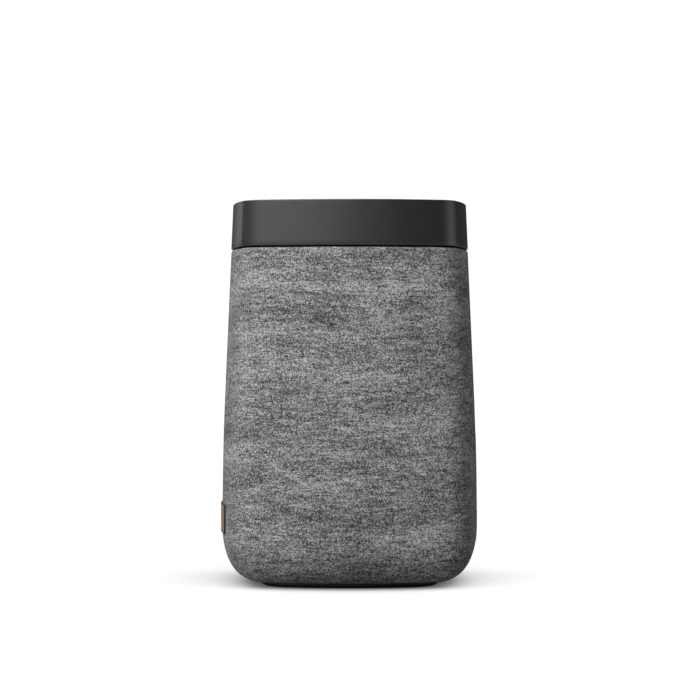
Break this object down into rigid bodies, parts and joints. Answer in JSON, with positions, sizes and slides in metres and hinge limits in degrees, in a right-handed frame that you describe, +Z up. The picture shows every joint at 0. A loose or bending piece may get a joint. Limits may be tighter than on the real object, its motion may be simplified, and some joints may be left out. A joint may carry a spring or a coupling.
{
  "type": "smart speaker",
  "caption": "Table-top smart speaker: a tapered rounded-square body in grey fabric, plastic cap with press buttons on top, leather label, recessed foot and rear mains inlet.",
  "frame": {"origin": "centre of the foot's underside, on the surface the speaker stands on", "axes": "+Z up; -Y towards the listener, the face with the leather label and the woofer; +X to the listener's right; the mains inlet is at the back, +Y"},
  "size_m": [0.1308, 0.1317, 0.193],
  "materials": {
    "sleeve_fabric": "woven heathered grey, matt",
    "label_leather": "smooth brown leather with black painted edges",
    "cap_plastic": "fine satin texture",
    "panel_plastic": "fine satin texture",
    "button_plastic": "fine satin texture",
    "black_plastic": "black moulded",
    "white_lens": "milky light pipe",
    "foot_rubber": "black matt",
    "silicone": "translucent grey silicone",
    "soft_rubber": "black",
    "foam": "closed-cell foam strip",
    "cone_paper": "black coated pulp",
    "dome_silk": "coated silk",
    "spider_cloth": "resin-treated cotton",
    "steel": "zinc plated",
    "black_steel": "black painted pressing",
    "ferrite": "dark grey sintered ferrite",
    "copper_coil": "copper winding on a former",
    "aluminium": "plain extruded",
    "circuit_board": "green glass-epoxy board",
    "components": "dark moulded components",
    "cable_film": "white polyester film",
    "screw_steel": "black zinc",
    "pin_metal": "nickel-plated brass"
  },
  "bodies": {
    "case": {"fabric_sleeve": "sleeve_fabric", "grille_shell": "black_plastic", "leather_label": "label_leather", "cap_shell": "cap_plastic", "top_panel": "panel_plastic", "status_light_lens": "white_lens", "status_leds": "white_lens", "control_board": "circuit_board", "button_mat": "silicone", "microphones": "components", "microphone_seals": "silicone", "foot_pad": "foot_rubber", "base_plate": "black_plastic", "front_baffle": "black_plastic", "rear_cabinet": "black_plastic", "enclosure_gasket": "foam", "woofer_basket": "black_steel", "woofer_magnet": "ferrite", "woofer_top_plate": "steel", "woofer_yoke": "steel", "woofer_surround": "soft_rubber", "woofer_spider": "spider_cloth", "tweeter_faceplate": "black_plastic", "tweeter_motor": "steel", "tweeter_surround": "soft_rubber", "rear_panel": "panel_plastic", "mains_inlet": "black_plastic", "inlet_pins": "pin_metal", "io_board": "circuit_board", "io_switches": "components", "main_board": "circuit_board", "heatsink": "aluminium", "power_board": "circuit_board", "power_components": "components", "flat_cable": "cable_film", "case_screws": "screw_steel", "driver_screws": "screw_steel", "board_screws": "screw_steel", "rear_panel_screws": "screw_steel", "left_radiator_frame": "black_steel", "left_radiator_surround": "soft_rubber", "right_radiator_frame": "black_steel", "right_radiator_surround": "soft_rubber"},
    "play": {"play_button": "button_plastic"},
    "volume_up": {"volume_up_button": "button_plastic"},
    "volume_down": {"volume_down_button": "button_plastic"},
    "assistant": {"assistant_button": "button_plastic"},
    "source": {"source_button": "button_plastic"},
    "mute": {"mute_slider": "button_plastic"},
    "pairing": {"pairing_button": "button_plastic"},
    "woofer": {"woofer_cone": "cone_paper", "woofer_dust_cap": "cone_paper", "woofer_voice_coil": "copper_coil"},
    "tweeter": {"tweeter_dome": "dome_silk"},
    "left_radiator": {"left_radiator_diaphragm": "aluminium"},
    "right_radiator": {"right_radiator_diaphragm": "aluminium"}
  },
  "joints": [
    {"name": "play_press", "type": "slide", "parent": "case", "child": "play", "axis": [0, 0, -1], "range_m": [0, 0.0006], "stiffness_N_per_m": 500, "deforming": ["button_mat"]},
    {"name": "volume_up_press", "type": "slide", "parent": "case", "child": "volume_up", "axis": [0, 0, -1], "range_m": [0, 0.0006], "stiffness_N_per_m": 500},
    {"name": "volume_down_press", "type": "slide", "parent": "case", "child": "volume_down", "axis": [0, 0, -1], "range_m": [0, 0.0006], "stiffness_N_per_m": 500},
    {"name": "assistant_press", "type": "slide", "parent": "case", "child": "assistant", "axis": [0, 0, -1], "range_m": [0, 0.0006], "stiffness_N_per_m": 500},
    {"name": "source_press", "type": "slide", "parent": "case", "child": "source", "axis": [0, 0, -1], "range_m": [0, 0.0006], "stiffness_N_per_m": 500},
    {"name": "mute_slide", "type": "slide", "parent": "case", "child": "mute", "axis": [0, 0, 1], "range_m": [0, 0.003]},
    {"name": "pairing_press", "type": "slide", "parent": "case", "child": "pairing", "axis": [0, -1, 0], "range_m": [0, 0.0005], "stiffness_N_per_m": 500},
    {"name": "woofer_stroke", "type": "slide", "parent": "case", "child": "woofer", "axis": [0, -1, 0], "range_m": [-0.004, 0.004], "stiffness_N_per_m": 1500, "deforming": ["woofer_surround", "woofer_spider"]},
    {"name": "tweeter_stroke", "type": "slide", "parent": "case", "child": "tweeter", "axis": [0, -1, 0], "range_m": [-0.0003, 0.0003], "stiffness_N_per_m": 2000, "deforming": ["tweeter_surround"]},
    {"name": "left_radiator_stroke", "type": "slide", "parent": "case", "child": "left_radiator", "axis": [-1, 0, 0], "range_m": [-0.004, 0.004], "stiffness_N_per_m": 1000, "deforming": ["left_radiator_surround"]},
    {"name": "right_radiator_stroke", "type": "slide", "parent": "case", "child": "right_radiator", "axis": [1, 0, 0], "range_m": [-0.004, 0.004], "stiffness_N_per_m": 1000, "deforming": ["right_radiator_surround"]}
  ]
}
